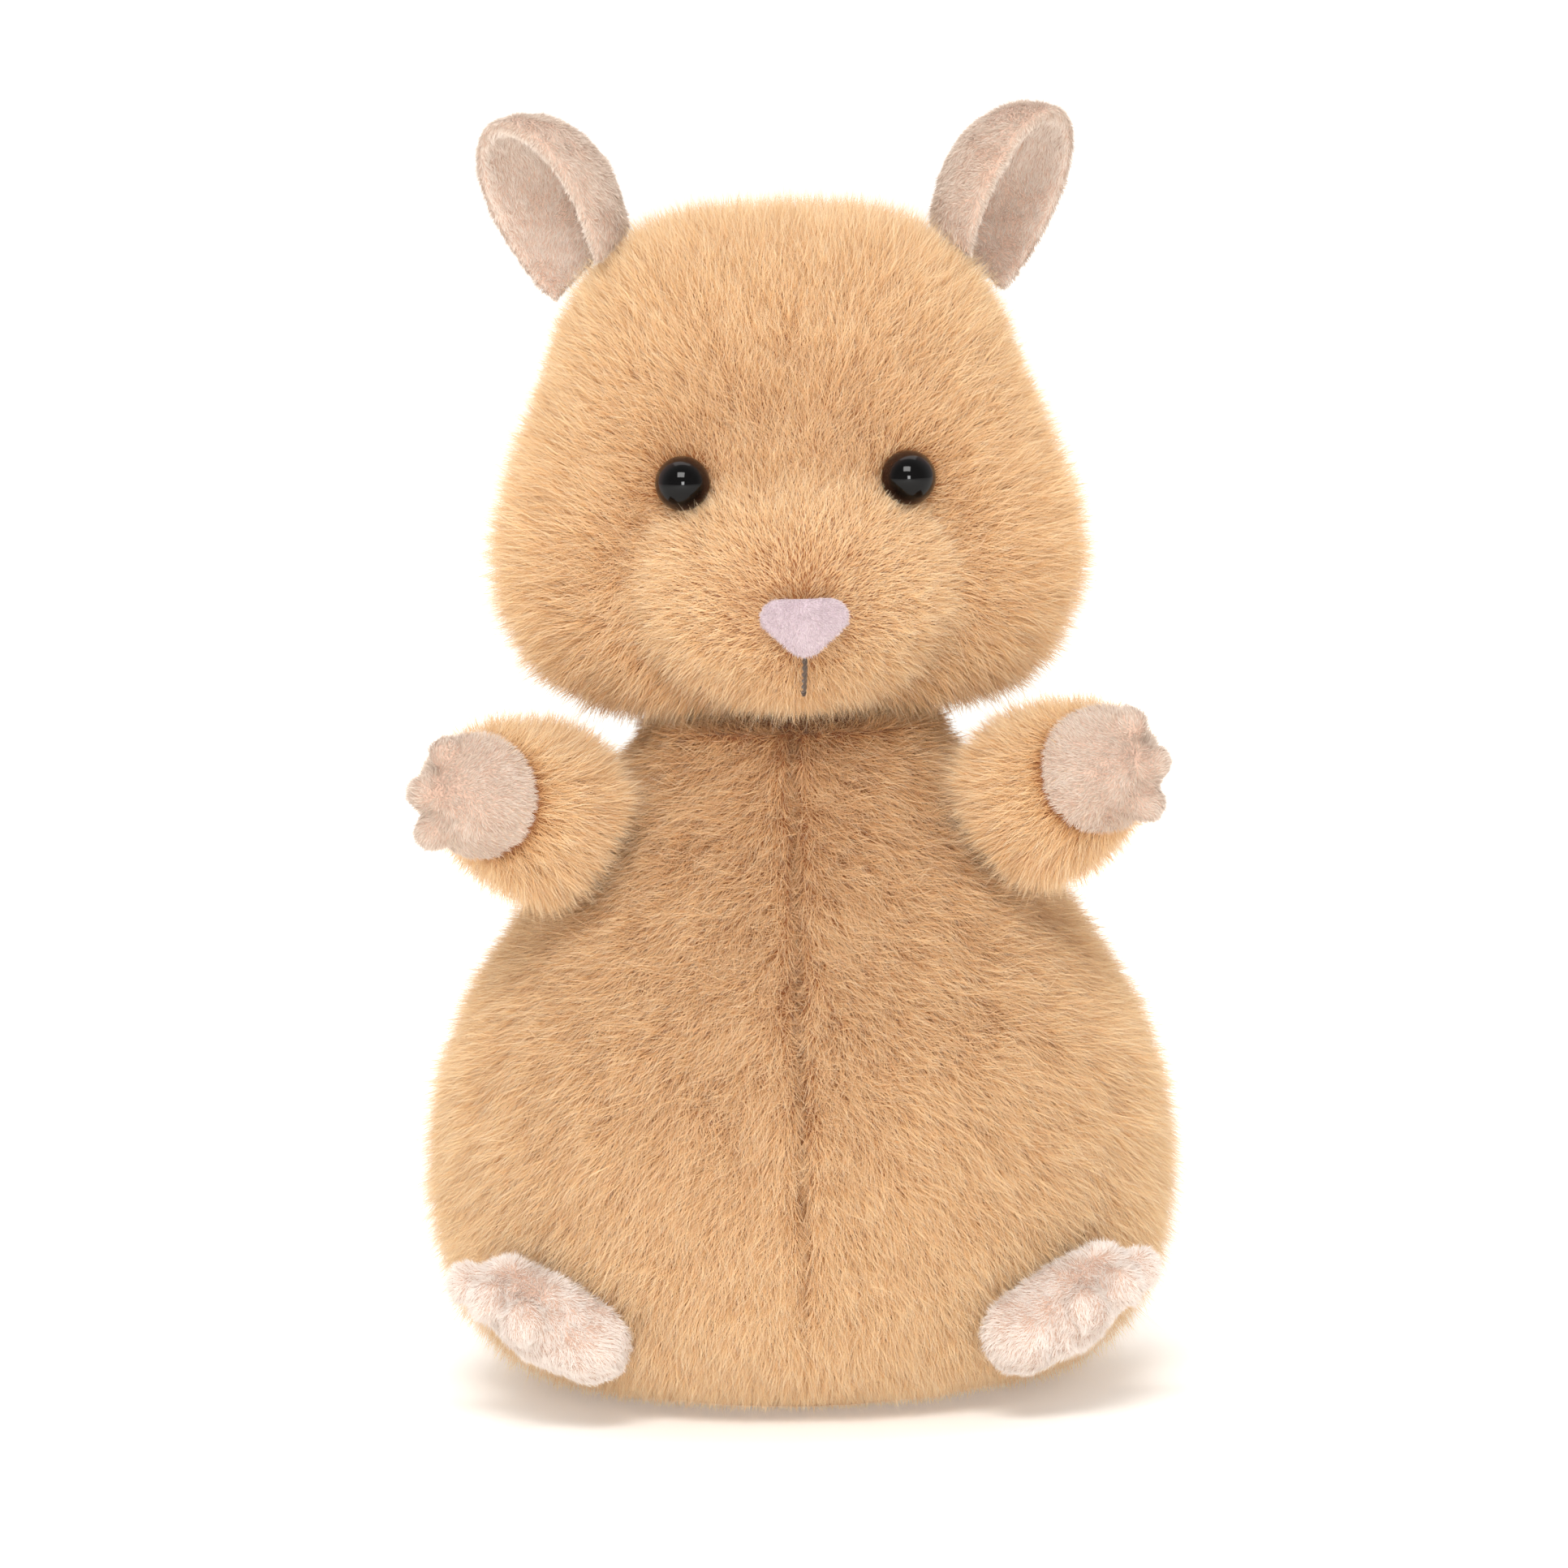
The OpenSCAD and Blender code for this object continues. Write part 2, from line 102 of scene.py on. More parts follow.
def settled(obj):
    """obj with its modifiers worked into its mesh."""
    graph = bpy.context.evaluated_depsgraph_get()
    mesh = bpy.data.meshes.new_from_object(obj.evaluated_get(graph), depsgraph=graph)
    obj.modifiers.clear()
    obj.data = mesh
    return obj


def smooth_shaded(obj):
    obj.data.polygons.foreach_set("use_smooth", [True] * len(obj.data.polygons))
    return obj


def unit(v):
    return v / np.maximum(np.linalg.norm(v, axis=-1, keepdims=True), 1e-12)


def step(x, low, high):
    """0 below low, 1 above high, and a smooth ramp in between."""
    t = np.clip((x - low) / (high - low), 0, 1)
    return t * t * (3 - 2 * t)


def bump(x, width):
    """1 at 0, falling to nothing over about twice the width."""
    return np.exp(-((x / width) ** 2))


# %% Floor and lights
def studio():
    """A floor that sweeps up behind the toy."""
    width, front, back, height, curve = 9.0, -4.0, 3.0, 4.0, 1.2
    profile = [(front, 0), (back - curve, 0)]
    for i in range(1, 13):
        a = math.radians(90 * i / 12)
        profile.append((back - curve + curve * math.sin(a), curve - curve * math.cos(a)))
    profile.append((back, height))
    verts = [(x, y, z) for y, z in profile for x in (-width / 2, width / 2)]
    faces = [(2 * i, 2 * i + 1, 2 * i + 3, 2 * i + 2) for i in range(len(profile) - 1)]
    mesh = bpy.data.meshes.new("floor")
    mesh.from_pydata(verts, [], faces)
    floor = smooth_shaded(link("floor", mesh))
    return floor


def area_light(name, size, power, place, tint=(1, 1, 1)):
    lamp = bpy.data.lights.new(name, "AREA")
    lamp.shape, lamp.size, lamp.size_y = "RECTANGLE", size[0], size[1]
    lamp.energy, lamp.color = power, tint
    obj = bpy.data.objects.new(name, lamp)
    obj.location = place
    obj.rotation_euler = (Vector((0, 0, 0.09)) - Vector(place)).to_track_quat("-Z", "Y").to_euler()
    scene.collection.objects.link(obj)


floor = studio()
area_light("high_softbox", (0.6, 0.46), 11, (-0.12, -0.95, 0.95), (1, 0.99, 0.97))
area_light("front_softbox", (0.26, 0.3), 5.2, (0.04, -1.35, 0.24))
area_light("top_softbox", (0.9, 0.7), 3.6, (0, 0.3, 1.1))
scene.view_settings.view_transform = "Standard"


# %% [markdown]
# ## Writing shaders as sums
# A material is a graph of nodes, and most of its nodes are arithmetic. One small class wraps a socket, so that an
# expression such as `0.5 + 0.2 * noise` adds its Math nodes by itself. Every other node comes from one method.

# %% Shader sockets that can be added and multiplied
def srgb(red, green, blue):
    """A colour from 0 to 255 a channel, as on a screen, in the linear values that a shader needs."""
    return tuple((c / 255 / 12.92) if c <= 10 else ((c / 255 + 0.055) / 1.055) ** 2.4 for c in (red, green, blue))


class Socket:
    def __init__(self, paint, out):
        self.paint, self.out = paint, out

    def math(self, operation, *values):
        return self.paint.node("ShaderNodeMath", {"operation": operation}, values)

    def __add__(self, other):
        return self.math("ADD", self, other)

    def __sub__(self, other):
        return self.math("SUBTRACT", self, other)

    def __rsub__(self, other):
        return self.math("SUBTRACT", other, self)

    def __mul__(self, other):
        return self.math("MULTIPLY", self, other)

    __radd__, __rmul__ = __add__, __mul__

    def between(self, low, high):
        """0 where the socket is low, 1 where it is high, and a smooth ramp in between."""
        return self.paint.node("ShaderNodeMapRange", {"interpolation_type": "SMOOTHSTEP"}, (self, low, high))


def wire(tree, made, sockets):
    """Fills sockets by name or number, from values or from other sockets."""
    for key, value in (sockets.items() if isinstance(sockets, dict) else enumerate(sockets)):
        if isinstance(key, int):
            target = made.inputs[key]
        else:
            target = next(s for s in made.inputs if s.name == key and s.enabled)
        value = value.out if isinstance(value, Socket) else value
        if isinstance(value, bpy.types.NodeSocket):
            tree.links.new(value, target)
        elif target.type == "RGBA" and len(value) == 3:
            target.default_value = (*value, 1)
        else:
            target.default_value = value


def add_node(tree, kind, settings, sockets):
    """A new node, with its settings, a ramp's stops among them, before its sockets."""
    made = tree.nodes.new(kind)
    for key, value in (settings or {}).items():
        if key == "stops":
            for i, (place, colour) in enumerate(value):
                stop = made.color_ramp.elements[i] if i < 2 else made.color_ramp.elements.new(place)
                stop.position, stop.color = place, (*colour, 1)
        else:
            setattr(made, key, value)
    wire(tree, made, sockets)
    return made


class Paint:
    """A material and its node tree, or the world's."""

    def __init__(self, name, owner=None):
        self.material = owner or bpy.data.materials.new(name)
        self.material.use_nodes = True
        self.tree = self.material.node_tree

    def node(self, kind, settings=None, sockets=(), out=None):
        made = add_node(self.tree, kind, settings, sockets)
        return Socket(self, next(s for s in made.outputs if s.enabled and out in (None, s.name)))

    def place(self):
        return self.node("ShaderNodeTexCoord", out="Object")

    def noise(self, size, detail=2.0):
        """Soft noise from 0 to 1, with blobs of about that size in metres."""
        return self.node("ShaderNodeTexNoise", None, {"Vector": self.place(), "Scale": 1 / size, "Detail": detail})

    def mix(self, share, first, second):
        """The first colour where share is 0, the second where it is 1."""
        return self.node("ShaderNodeMix", {"data_type": "RGBA"}, {"Factor": share, "A": first, "B": second})

    def finish(self, relief=None, depth=0.0, **sockets):
        """Sets the shader's sockets, each a constant or a pattern, and its relief, a pattern depth metres deep."""
        named = {key.replace("_", " ").title().replace("Ior", "IOR"): value for key, value in sockets.items()}
        if relief is not None:
            named["Normal"] = self.node("ShaderNodeBump", None, {"Distance": depth, "Height": relief})
        wire(self.tree, self.tree.nodes["Principled BSDF"], named)
        return self.material


# %% [markdown]
# ## Floor paint and the studio's walls
# The floor is white paper with a painted glow. Its emission is fainter near the toy and brighter away from it, so
# that the far floor shows white and only the toy's soft shadow shows on it. The room is white behind the toy and
# dimmer in front, where only the softboxes are bright. That keeps the black eyes black, with small clear highlights.

# %% Paint the floor and the room
paint = Paint("paper_with_painted_glow")
# Painted light: the paper glows, fainter close to the toy and brighter far from it.
far = paint.node("ShaderNodeVectorMath", {"operation": "LENGTH"}, (paint.place(),), "Value").between(0.12, 0.55)
fibres = paint.noise(0.002)
floor.data.materials.append(paint.finish(
    relief=fibres, depth=0.02 * MM, roughness=0.9,
    base_color=paint.mix(fibres, srgb(250, 247, 242), srgb(253, 251, 247)),
    emission_color=paint.mix(far, (0.24, 0.225, 0.21), (0.5, 0.5, 0.5)), emission_strength=1.0))

scene.world = bpy.data.worlds.new("studio")
room = Paint("studio", scene.world)
direction = room.node("ShaderNodeTexCoord", out="Generated")
back = room.node("ShaderNodeSeparateXYZ", None, {"Vector": direction}, "Y").between(-0.6, 0.2)
wall = room.mix(back, (0.34, 0.34, 0.34), (0.76, 0.76, 0.76))
wire(room.tree, room.tree.nodes["Background"], {"Color": wall})
print("room painted")


# %% [markdown]
# ## Stuffed forms
# A plush toy is sewn cloth round loose filling, and the filling pushes the cloth out until it is tight. Each form
# starts from the CAD solids' corners. Their convex hulls, a little too small, are joined and remeshed with even
# voxels, and a cloth simulation with air pressure inside swells them. A cap on the movement keeps them at the CAD's
# size. A foot has toes, which a hull would lose, so its own solids are remeshed instead.

# %% The CAD solids' corners and surfaces
def cad_points(*names):
    return np.concatenate([points_of(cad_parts[n].data) for n in names])


def merged(*names):
    """A bmesh of some CAD solids with the doubled corners of their loose triangles merged."""
    bm = bmesh.new()
    for n in names:
        bm.from_mesh(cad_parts[n].data)
    bmesh.ops.remove_doubles(bm, verts=bm.verts, dist=1e-6)
    return bm


def surface(*names):
    bm = merged(*names)
    tree = BVHTree.FromBMesh(bm)
    bm.free()
    return tree


def distance(tree, points):
    """How far each point is from a surface, in millimetres."""
    return np.array([tree.find_nearest(Vector(p))[3] for p in points]) / MM


# %% Hulls, voxels and pressure
def hulls(name, groups, inset):
    """The convex hulls of groups of CAD solids in one mesh, with their faces moved in by inset."""
    whole = bmesh.new()
    for names in groups:
        bm = bmesh.new()
        for p in np.unique(np.round(cad_points(*names), 5), axis=0):
            bm.verts.new(p)
        made = bmesh.ops.convex_hull(bm, input=bm.verts)
        inner = [v for v in made["geom_interior"] if isinstance(v, bmesh.types.BMVert)]
        bmesh.ops.delete(bm, geom=inner, context="VERTS")
        bmesh.ops.recalc_face_normals(bm, faces=bm.faces)
        bm.normal_update()
        for v in bm.verts:
            v.co -= v.normal * inset
        part = bpy.data.meshes.new("part")
        bm.to_mesh(part)
        bm.free()
        whole.from_mesh(part)
    mesh = bpy.data.meshes.new(name)
    whole.to_mesh(mesh)
    whole.free()
    return link(name, mesh)


def remeshed(obj, voxel):
    remesh = obj.modifiers.new("voxels", "REMESH")
    remesh.mode, remesh.voxel_size = "VOXEL", voxel
    return settled(obj)


def puffed(obj, most):
    """obj swollen by air pressure, each point by at most that distance."""
    rest = points_of(obj.data)
    cloth = obj.modifiers.new("cloth", "CLOTH")
    cloth.settings.use_pressure = True
    cloth.settings.uniform_pressure_force = 4
    cloth.settings.effector_weights.gravity = 0
    for frame_number in range(1, 21):
        scene.frame_set(frame_number)
    settled(obj)
    moved = points_of(obj.data) - rest
    length = np.linalg.norm(moved, axis=1, keepdims=True)
    put_points(obj.data, rest + moved * np.minimum(1, most / np.maximum(length, 1e-9)))
    scene.frame_set(1)
    return obj


def relaxed(obj, rounds, levels):
    """obj smoothed, subdivided and shaded smooth."""
    soften = obj.modifiers.new("soften", "SMOOTH")
    soften.factor, soften.iterations = 0.5, rounds
    divide = obj.modifiers.new("divide", "SUBSURF")
    divide.levels = divide.render_levels = levels
    return smooth_shaded(settled(obj))


SWELL = 1.0 * MM


def stuffed(name, groups, voxel, rounds=4, levels=2):
    obj = remeshed(hulls(name, groups, SWELL), voxel)
    puffed(obj, 1.5 * SWELL)
    relaxed(obj, rounds, levels)
    print(name, len(obj.data.polygons), "faces, height", round(obj.dimensions.z / MM, 1), "mm")
    return obj


def soft_shell(name, nodes, voxel, rounds, swell=0.0):
    """The CAD solids' own shape, joined, with its edges rounded, and swollen by at most swell."""
    bm = merged(*nodes)
    mesh = bpy.data.meshes.new(name)
    bm.to_mesh(mesh)
    bm.free()
    obj = remeshed(link(name, mesh), voxel)
    if swell:
        puffed(obj, swell)
    relaxed(obj, rounds, 1 if voxel > 0.6 * MM else 0)
    print(name, len(obj.data.polygons), "faces")
    return obj


# %% Torso, head, arms and feet
SIDES = {"left": 1, "right": -1}
TORSO = [f"torso_{f}_{s}" for f in ("front", "back") for s in SIDES]
torso = stuffed("torso_stuffed", [TORSO], 5.5 * MM, levels=3)
head = stuffed("head_stuffed", [["head_left", "head_right", "head_crown"], ["muzzle"]], 3.2 * MM, 4)
arms = {s: stuffed(f"arm_{s}_stuffed", [[f"arm_{s}_sleeve", f"arm_{s}_filling"]], 3 * MM) for s in SIDES}
feet = {}
for s in SIDES:
    nodes = [f"foot_{s}_{n}" for n in ("upper", "sole", "filling")]
    feet[s] = soft_shell(f"foot_{s}_stuffed", nodes, 0.8 * MM, 3, 0.3 * MM)

# %% [markdown]
# ## Palms, ears, nose and base
# These are single pieces of cloth, so they keep the CAD's shape, with the edges rounded where the cloth folds over.
# The ear's two plies are sewn edge to edge and turned, so they are made as one piece.

# %% Make the sewn cloth pieces
palms = {s: soft_shell(f"arm_{s}_palm_cloth", [f"arm_{s}_palm"], 0.5 * MM, 5) for s in SIDES}
ears = {s: soft_shell(f"ear_{s}_cloth", [f"ear_{s}_front", f"ear_{s}_back"], 0.45 * MM, 5) for s in SIDES}
nose = soft_shell("nose_cloth", ["nose"], 0.2 * MM, 12)
base = soft_shell("base_cloth", ["base_panel"], 0.7 * MM, 2)

# %% [markdown]
# ## Seams and eye sockets
# Where two panels are sewn together the thread pulls the cloth in, and the pile parts. The belly seam runs from the
# neck to the base, the back has one too, and a seam divides each foot's sole from its upper. Stitches draw the toes
# apart. The eyes are pulled tight from inside, so each sits in a shallow dimple.

# %% Leave room for the short pile, and press the seams in
def normals_of(mesh):
    n = np.empty(len(mesh.vertices) * 3, np.float32)
    mesh.vertices.foreach_get("normal", n)
    return n.reshape(-1, 3).astype(float)


def press(obj, depth):
    put_points(obj.data, points_of(obj.data) - normals_of(obj.data) * depth[:, None])


def hollows(mesh, rounds=30):
    """How far each point lies below the surface's own smoothed form, in millimetres."""
    ends = np.empty(len(mesh.edges) * 2, np.int32)
    mesh.edges.foreach_get("vertices", ends)
    near, far = ends.reshape(-1, 2).T
    here, there = np.r_[near, far], np.r_[far, near]
    points = points_of(mesh)
    count = np.bincount(here, minlength=len(points))[:, None]
    smooth = points
    for _ in range(rounds):
        smooth = np.stack([np.bincount(here, smooth[there, k], len(points)) for k in range(3)], 1) / count
    depth = ((smooth - points) * normals_of(mesh)).sum(1) / MM
    return depth - np.median(depth)


# The toes are drawn apart by stitches, so what is hollow goes deeper and what is round stands out.
for form, core in [(feet[s], f"foot_{s}_filling") for s in SIDES] + [(palms[s], f"arm_{s}_filling") for s in SIDES]:
    hollow = np.clip(hollows(form.data), -0.5, 0.6)
    outside = ((points_of(form.data) - cad_points(core).mean(0)) * normals_of(form.data)).sum(1) > 0
    gain = 1.2 if "foot" in core else 0.6
    press(form, np.where(outside, 0.5 + gain * hollow, 0) * MM)
    form.data.attributes.new("hollow", "FLOAT", "POINT").data.foreach_set("value", hollow.astype(np.float32))
    print(form.name, "hollows up to", round(hollow.max(), 2), "mm")

SEAM_DEPTH, SEAM_WIDTH = 1.1 * MM, 0.8 * MM
p = points_of(torso.data)
press(torso, SEAM_DEPTH * bump(p[:, 0], SEAM_WIDTH) * step(p[:, 2] / MM, 8, 30))
p = points_of(torso.data)
p[:, 2] = np.maximum(p[:, 2], 0.25 * MM)
put_points(torso.data, p)

# The neck's two faces stay flat, close to each other.
p = points_of(torso.data)
aside = np.hypot(p[:, 0], p[:, 1]) / MM
level = 95.1 - 3 * step(aside, 12, 20)
p[:, 2] = np.where((aside < 20) & (p[:, 2] > 90 * MM), np.maximum(p[:, 2], level * MM), p[:, 2])
put_points(torso.data, p)
p = points_of(head.data)
aside = np.hypot(p[:, 0], p[:, 1]) / MM
level = 96.0 + 3 * step(aside, 12, 19)
p[:, 2] = np.where((aside < 19) & (p[:, 2] < 101 * MM), np.minimum(p[:, 2], level * MM), p[:, 2])
put_points(head.data, p)

# The muzzle is set in with a seam, which pulls a soft crease round it.
muzzle_skin, skull_skin = surface("muzzle"), surface("head_left", "head_right", "head_crown")


def muzzle_crease(points):
    return bump(distance(muzzle_skin, points), 2.2) * bump(distance(skull_skin, points), 2.2)


press(head, 1.1 * MM * muzzle_crease(points_of(head.data)))

foot_skins = {s: (surface(f"foot_{s}_upper"), surface(f"foot_{s}_sole")) for s in SIDES}
for s, (upper, sole) in foot_skins.items():
    p = points_of(feet[s].data)
    press(feet[s], 0.35 * MM * bump(distance(upper, p), 0.9) * bump(distance(sole, p), 0.9))
print("seams pressed in by", SEAM_DEPTH / MM, "and 0.35 mm")


# %% Find the eyes and press their sockets
def axis_of(points, towards):
    """The middle and the direction of a turned part's axis, from the way its corners spread."""
    middle = points.mean(0)
    direction = np.linalg.svd(points - middle, full_matrices=False)[2][0]
    return middle, direction * np.sign(direction @ towards)


EYE_R = 3.75 * MM
eyes = {}
p = points_of(head.data)
for s in SIDES:
    corners = cad_points(f"eye_{s}")
    middle, out = axis_of(corners, np.array([0.0, -1, 0]))
    back_plane = ((corners - middle) @ out).max() - 1.2 * EYE_R
    eyes[s] = (middle + out * back_plane, out)
    reach = (p - eyes[s][0]) @ out
    aside = np.linalg.norm(p - eyes[s][0] - reach[:, None] * out, axis=1)
    room_for = -0.3 * MM + 7 * MM * step(aside, 3.3 * MM, 8 * MM)
    p -= np.where((aside < 9 * MM) & (p[:, 1] < 0), np.maximum(reach - room_for, 0), 0)[:, None] * out
put_points(head.data, p)
print("eyes at", [[round(v / MM, 1) for v in eyes[s][0]] for s in SIDES], "mm")


# %% [markdown]
# ## Eyes, mouth and thread
# A safety eye is one moulding: a glossy dome with a rounded rim, and a shank that a washer grips inside the head. It
# is a turned shape, so it is made by revolving an outline. The mouth is a stitch of two-ply thread, made as two thin
# tubes that wind round each other along the CAD stitch.

# %% Revolve an outline
def tube_mesh(name, rings):
    """A closed skin over rings of points, with a point at each end."""
    count = len(rings[0])
    verts = [p for ring in rings for p in ring]
    faces = []
    for i in range(len(rings) - 1):
        for j in range(count):
            k = (j + 1) % count
            faces.append((i * count + j, i * count + k, (i + 1) * count + k, (i + 1) * count + j))
    for ring, turn in ((0, -1), (len(rings) - 1, 1)):
        verts.append(np.mean(rings[ring], axis=0))
        ends = [(ring * count + j, ring * count + (j + 1) % count, len(verts) - 1)[::turn] for j in range(count)]
        faces += ends
    mesh = bpy.data.meshes.new(name)
    mesh.from_pydata([tuple(v) for v in verts], [], faces)
    bm = bmesh.new()
    bm.from_mesh(mesh)
    bmesh.ops.recalc_face_normals(bm, faces=bm.faces)
    bm.to_mesh(mesh)
    bm.free()
    return smooth_shaded(link(name, mesh))


def revolved(name, outline, origin, axis, count=72):
    """An outline of (radius, distance along the axis), turned round the axis."""
    side = unit(np.cross(axis, [0, 0, 1.0]))
    up = np.cross(side, axis)
    turns = [side * math.cos(a) + up * math.sin(a) for a in np.arange(count) * math.tau / count]
    return tube_mesh(name, [[origin + r * t + h * axis for t in turns] for r, h in outline])


SHANK = [(1.25, -7.0), (1.25, -1.1), (1.4, -0.95), (3.3, -0.9), (3.62, -0.6)]
dome = [(3.75 * math.cos(a), 0.75 + 3.75 * math.sin(a)) for a in np.radians(np.linspace(-11, 88, 26))]
for s in SIDES:
    outline = [(r * MM, h * MM) for r, h in SHANK + dome]
    eyes[s] += (revolved(f"eye_{s}_glossy", outline, *eyes[s]),)
    mesh = eyes[s][2].data
    offset = points_of(mesh) - eyes[s][0]
    aside = np.linalg.norm(offset - (offset @ eyes[s][1])[:, None] * eyes[s][1], axis=1)
    mesh.attributes.new("aside", "FLOAT", "POINT").data.foreach_set("value", (aside / EYE_R).astype(np.float32))
print("eyes turned,", len(mesh.polygons), "faces each")

# %% Wind the mouth's thread
p = cad_points("mouth_stitch")
bins = np.linspace(p[:, 2].max(), p[:, 2].min(), 9)
path = np.array([p[np.argsort(abs(p[:, 2] - z))[:24]].mean(0) for z in bins])
ways = np.linspace(0, 8, 60)
spine = np.stack([np.interp(ways, range(9), path[:, k]) for k in range(3)], 1)
ahead = unit(np.gradient(spine, axis=0))
side = unit(np.cross(ahead, [1.0, 0, 0]))
over = np.cross(ahead, side)
plies = []
for start in (0, math.pi):
    wind = ways * 2.4 + start
    middle = spine + 0.18 * MM * (side * np.cos(wind)[:, None] + over * np.sin(wind)[:, None])
    around = [side * math.cos(a) + over * math.sin(a) for a in np.arange(10) * math.tau / 10]
    plies.append(tube_mesh(f"ply_{start > 0}", [[m + 0.2 * MM * t[i] for t in around] for i, m in enumerate(middle)]))
with bpy.context.temp_override(active_object=plies[0], selected_editable_objects=plies):
    bpy.ops.object.join()
mouth = plies[0]
mouth.name = "mouth_thread"
print("mouth thread", len(mouth.data.polygons), "faces")


# %% [markdown]
# ## Pile
# Plush cloth is a knitted backing with thousands of upright hairs. Real hairs would be far too many, so each one
# here stands for a few of them, and is a single thin triangle. One Geometry Nodes tree scatters them on a panel,
# leans each along the panel's comb direction, and lets soft noise ruffle it. It also stores a map in which one
# axis is the hair's tone and the other the way from root to tip. A material that reads only that map is the
# same all over the panel.

# %% A Geometry Nodes tree that is built call by call
class Tree:
    def __init__(self, name, inputs):
        self.tree = bpy.data.node_groups.new(name, "GeometryNodeTree")
        face = self.tree.interface
        face.new_socket("Geometry", in_out="OUTPUT", socket_type="NodeSocketGeometry")
        face.new_socket("Geometry", in_out="INPUT", socket_type="NodeSocketGeometry")
        self.keys = {}
        for label, kind in inputs.items():
            self.keys[label] = face.new_socket(label, in_out="INPUT", socket_type=f"NodeSocket{kind}").identifier
        self.given = self.tree.nodes.new("NodeGroupInput")
        self.result = self.tree.nodes.new("NodeGroupOutput")

    def node(self, kind, settings=None, sockets=None, out=0):
        made = add_node(self.tree, kind, settings, sockets or {})
        if isinstance(out, int):
            return made.outputs[out]
        return next(s for s in made.outputs if s.name == out and s.enabled)

    def vector(self, operation, *values, out="Vector"):
        return self.node("ShaderNodeVectorMath", {"operation": operation}, dict(enumerate(values)), out)

    def scaled(self, vector, share):
        return self.node("ShaderNodeVectorMath", {"operation": "SCALE"}, {0: vector, "Scale": share}, "Vector")

    def math(self, operation, *values):
        return self.node("ShaderNodeMath", {"operation": operation}, dict(enumerate(values)))

    def attribute(self, name, kind="FLOAT"):
        return self.node("GeometryNodeInputNamedAttribute", {"data_type": kind}, {"Name": name}, "Attribute")

    def random(self, low, high, seed, kind="FLOAT"):
        return self.node("FunctionNodeRandomValue", {"data_type": kind},
                         {"Min": low, "Max": high, "Seed": seed}, "Value")

    def ruffle(self, place, size, amount):
        """A vector of soft noise, centred on nothing."""
        noise = self.node("ShaderNodeTexNoise", None, {"Vector": place, "Scale": 1 / size, "Detail": 1.0}, "Color")
        return self.scaled(self.vector("SUBTRACT", noise, (0.5, 0.5, 0.5)), amount)

    def store(self, geometry, name, value, kind, domain):
        return self.node("GeometryNodeStoreNamedAttribute", {"data_type": kind, "domain": domain},
                         {"Geometry": geometry, "Name": name, "Value": value})


# %% The hair that all others are copies of
MAP = "OFBake"
TONE_WIDTH = 0.008  # a hair's width on the map


def one_hair():
    """A triangle, one unit long and wide, upright on its base."""
    corners = [(0, -0.5, 0), (0, 0.5, 0), (0, 0, 1)]
    mesh = bpy.data.meshes.new("hair")
    mesh.from_pydata(corners, [], [(0, 1, 2)])
    layer = mesh.uv_layers.new(name=MAP)
    for loop in mesh.loops:
        x, y, z = corners[loop.vertex_index]
        layer.data[loop.index].uv = (TONE_WIDTH * y, 0.02 + 0.96 * z)
    return bpy.data.objects.new("hair", mesh)


hair = one_hair()


